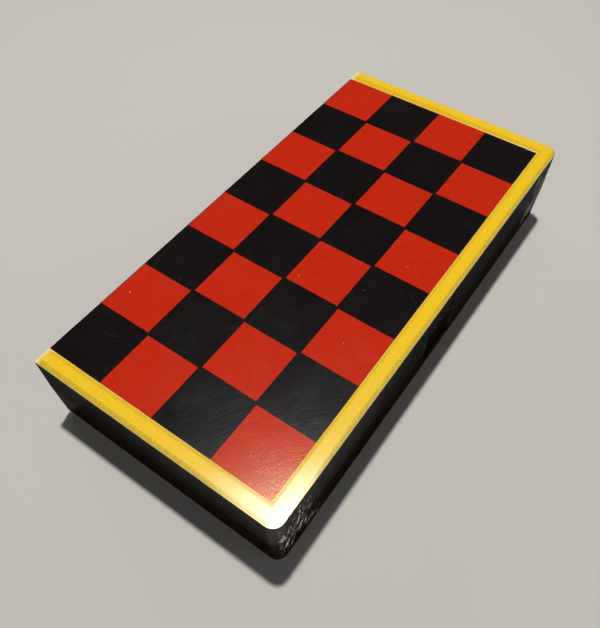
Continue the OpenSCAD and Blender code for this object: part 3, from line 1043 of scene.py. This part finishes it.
# The latch tab: darker and less glossy than the case, which paints the shade of its recess; its strongly
# rubbed pale edges paint the glints on the recess's ledges.
LATCH_PAINTED_SHADE_GLINTS = CasePlastic("case_black", (0.0060, 0.0050, 0.0046), 0.34, ior_level=0.12, variant="_latch",
                          rub_share=0.85)
BOARD_BLACK = BoardLacquer("board_black", (0.0060, 0.0040, 0.0038), 0.175, ior_level=0.42)
PRINT_RED = PrintEnamel("print_red", (0.52, 0.0195, 0.0048), 0.195, ior_level=0.36, tint=(1.0, 0.88, 0.66))
RIM_YELLOW = RimFoil("rim_yellow", (0.83, 0.545, 0.016), 0.225)
PIN_STEEL = PinSteel("pin_steel", (0.60, 0.60, 0.61), 0.22, metal=1.0)
TRAY_BLACK = TrayPlastic("tray_black", (0.020, 0.019, 0.018), 0.45)
CHECKERS = {
    Team.RED: CheckerPlastic("checker_red", (0.47, 0.022, 0.010), 0.28, rubbed=(0.72, 0.22, 0.16),
                             flow=(0.36, 0.014, 0.008)),
    Team.BLACK: CheckerPlastic("checker_black", (0.014, 0.013, 0.013), 0.28, rubbed=(0.17, 0.165, 0.16),
                               flow=(0.021, 0.019, 0.018)),
}


@dataclass
class Piece:
    """One CAD node with its finish and its eased edges."""

    node: str
    finish: Finish
    ease: float
    ease_steps: int = 2
    sharp: float = math.radians(32)
    seam_gap: float = 0.002 * MM
    flatness: int = 100

    def dress(self) -> None:
        """Gives the node its finish and rounds its sharp edges a little."""
        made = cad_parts[self.node]
        made.data.materials.clear()
        made.data.materials.append(self.finish.material())
        weld = made.modifiers.new("close_seams", "WELD")
        weld.merge_threshold = self.seam_gap
        eased = made.modifiers.new("eased_edges", "BEVEL")
        eased.width = self.ease
        eased.segments = self.ease_steps
        eased.limit_method = "ANGLE"
        eased.angle_limit = self.sharp
        made.data.polygons.foreach_set("use_smooth", [True] * len(made.data.polygons))
        flat = made.modifiers.new("flat_faces", "WEIGHTED_NORMAL")
        flat.mode = "FACE_AREA"
        flat.weight = self.flatness
        log.info("dressed %s with %s", self.node, self.finish.slot)


@dataclass
class CaseHalf:
    """One moulding of the case with its board sheet, print and rim."""

    side: Side
    wall_ease: float = 0.25 * MM
    sheet_ease: float = 0.05 * MM
    print_ease: float = 0.03 * MM
    rim_ease: float = 0.14 * MM

    def build(self) -> None:
        """Dresses the half's four nodes."""
        for part, finish, ease in (("case", CASE_BLACK, self.wall_ease),
                                   ("board", BOARD_BLACK, self.sheet_ease),
                                   ("squares", PRINT_RED, self.print_ease),
                                   ("rim", RIM_YELLOW, self.rim_ease)):
            Piece(f"{self.side.value}_{part}", finish, ease).dress()


@dataclass
class Fittings:
    """The hinge pins, the snap tab and the storage tray."""

    pin_ease: float = 0.2 * MM
    tab_ease: float = 0.25 * MM
    tray_ease: float = 0.3 * MM

    def build(self) -> None:
        """Dresses the fittings."""
        for end in ("front", "rear"):
            Piece(f"hinge_pin_{end}", PIN_STEEL, self.pin_ease).dress()
        Piece("latch_tab", LATCH_PAINTED_SHADE_GLINTS, self.tab_ease).dress()
        Piece("storage_tray", TRAY_BLACK, self.tray_ease).dress()


@dataclass
class CheckerSet:
    """The twelve checkers of one colour."""

    team: Team
    count: int = 12
    ease: float = 0.12 * MM

    def build(self) -> None:
        """Dresses the checkers."""
        for number in range(1, self.count + 1):
            Piece(f"{self.team.value}_checker_{number:02d}", CHECKERS[self.team], self.ease).dress()


@dataclass
class Lamp:
    """A round area lamp aimed at the object."""

    name: str
    place: Point
    power: float
    width: float
    colour: Colour = (1.0, 1.0, 1.0)
    aim: Point = (0.0, 0.0, 0.02)

    def build(self) -> None:
        """Adds the lamp."""
        data = bpy.data.lights.new(self.name, "AREA")
        data.shape = "DISK"
        data.size = self.width
        data.energy = self.power
        data.color = self.colour
        made = bpy.data.objects.new(self.name, data)
        made.location = self.place
        made.rotation_euler = (Vector(self.aim) - Vector(self.place)).to_track_quat("-Z", "Y").to_euler()
        bpy.context.scene.collection.objects.link(made)
        log.info("lit %s", self.name)


LAMPS = (
    Lamp("ceiling_lamp", (-0.12, 0.131, 1.29), 14.4, 0.07, (1.0, 0.965, 0.88)),
    Lamp("ceiling_glow", (-0.16, 0.15, 1.35), 0.25, 0.55, (0.72, 0.84, 1.0)),
    Lamp("front_fill", (0.25, -1.55, 0.95), 2.0, 1.3),
    Lamp("side_fill", (1.65, 0.35, 0.85), 2.0, 1.1),
    Lamp("hinge_fill", (-1.6, 0.85, 0.85), 2.6, 0.7),
    Lamp("rear_fill", (-0.3, 2.2, 0.5), 2.0, 0.6),
)


@dataclass
class Studio:
    """The pale floor with its raised surround, the world and the lamps."""

    floor_radius: float = 1.1
    wall_radius: float = 2.4
    wall_height: float = 1.5
    wall_steps: int = 12
    spokes: int = 96
    glow_from: float = 0.30
    glow_full: float = 0.80
    floor_colour: Colour = (0.57, 0.56, 0.55)
    floor_roughness: float = 0.85
    floor_ior_level: float = 0.2
    wall_colour: Colour = (0.575, 0.550, 0.505)
    sky_colour: Colour = (0.80, 0.84, 0.90)
    sky_strength: float = 0.03

    def build(self) -> None:
        """Builds the floor, the world and the lamps."""
        self.floor()
        self.world()
        for lamp in LAMPS:
            lamp.build()

    def world(self) -> None:
        """Adds a weak, even sky."""
        made = bpy.data.worlds.new("studio_world")
        made.use_nodes = True
        sky = made.node_tree.nodes["Background"]
        sky.inputs["Color"].default_value = (*self.sky_colour, 1.0)
        sky.inputs["Strength"].default_value = self.sky_strength
        bpy.context.scene.world = made

    def floor(self) -> None:
        """Turns the floor's profile into one round sheet, flat and then rising to a low wall."""
        mesh = bpy.data.meshes.new("studio_floor")
        shape = bmesh.new()
        turns = [2 * math.pi * k / self.spokes for k in range(self.spokes)]
        rings = [[shape.verts.new((radius * math.cos(a), radius * math.sin(a), height)) for a in turns]
                 for radius, height in self.profile()]
        shape.faces.new(rings[0])
        for inner, outer in zip(rings, rings[1:]):
            for k in range(self.spokes):
                n = (k + 1) % self.spokes
                shape.faces.new((inner[k], outer[k], outer[n], inner[n])).smooth = True
        shape.to_mesh(mesh)
        shape.free()
        mesh.materials.append(self.paint())
        made = bpy.data.objects.new("studio_floor", mesh)
        bpy.context.scene.collection.objects.link(made)
        log.info("built the studio floor")

    def profile(self) -> list[tuple[float, float]]:
        """Draws the sheet's profile, from the floor's edge to the wall's top.

        Returns:
            The radius and height of each ring.
        """
        run = self.wall_radius - self.floor_radius
        quarter = (math.radians(90 * k / self.wall_steps) for k in range(self.wall_steps + 1))
        return [(self.floor_radius + run * math.sin(a), self.wall_height * (1 - math.cos(a)))
                for a in quarter]

    def paint(self) -> bpy.types.Material:
        """Paints the floor; far out, the camera sees an even glow, which lights nothing.

        Returns:
            The material.
        """
        made = bpy.data.materials.new("studio_paint")
        made.use_nodes = True
        shader = made.node_tree.nodes["Principled BSDF"]
        shader.inputs["Base Color"].default_value = (*self.floor_colour, 1.0)
        shader.inputs["Roughness"].default_value = self.floor_roughness
        shader.inputs["Specular IOR Level"].default_value = self.floor_ior_level
        graph = Graph(made.node_tree)
        glow = graph.add("ShaderNodeEmission", {"Color": (*self.wall_colour, 1.0)})
        away = graph.add("ShaderNodeVectorMath", {0: graph.here()}, operation="LENGTH").outputs["Value"]
        seen = graph.times(graph.add("ShaderNodeLightPath").outputs["Is Camera Ray"],
                           graph.step(away, self.glow_from, self.glow_full))
        mixed = graph.add("ShaderNodeMixShader", {0: seen, 1: shader.outputs[0], 2: glow.outputs[0]})
        graph.feed(made.node_tree.nodes["Material Output"].inputs["Surface"], mixed.outputs[0])
        return made


@dataclass
class PhotoCamera:
    """The camera at the photograph's place, as the board's squares give it."""

    place: Point = (92.33 * MM, -145.05 * MM, 215.03 * MM)
    right: Point = (0.81513, 0.57922, -0.00862)
    up: Point = (-0.48773, 0.69426, 0.52927)
    back: Point = (0.31254, -0.42722, 0.84841)
    focal_px: float = 595.9
    tall_px: float = 628.0
    centre_px: float = 370.0
    sensor: float = 36.0
    nearest: float = 0.01
    farthest: float = 20.0

    def build(self) -> None:
        """Adds the camera and makes it the scene's."""
        data = bpy.data.cameras.new("photo_camera")
        data.sensor_width = self.sensor
        data.lens = self.focal_px / self.tall_px * self.sensor
        data.shift_y = (self.centre_px - self.tall_px / 2) / self.tall_px
        data.clip_start, data.clip_end = self.nearest, self.farthest
        made = bpy.data.objects.new("photo_camera", data)
        axes = Matrix((self.right, self.up, self.back)).transposed().to_4x4()
        made.matrix_world = Matrix.Translation(self.place) @ axes
        bpy.context.scene.collection.objects.link(made)
        bpy.context.scene.camera = made
        log.info("placed the camera")


def main() -> None:
    """Builds the dressed set, the studio and the camera, in order."""
    logging.basicConfig(level=logging.INFO, format="%(name)s: %(message)s")
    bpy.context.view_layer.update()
    bpy.context.scene.view_settings.view_transform = "Standard"
    for side in Side:
        CaseHalf(side).build()
    Fittings().build()
    for team in Team:
        CheckerSet(team).build()
    Studio().build()
    PhotoCamera().build()


if __name__ == "__main__":
    main()
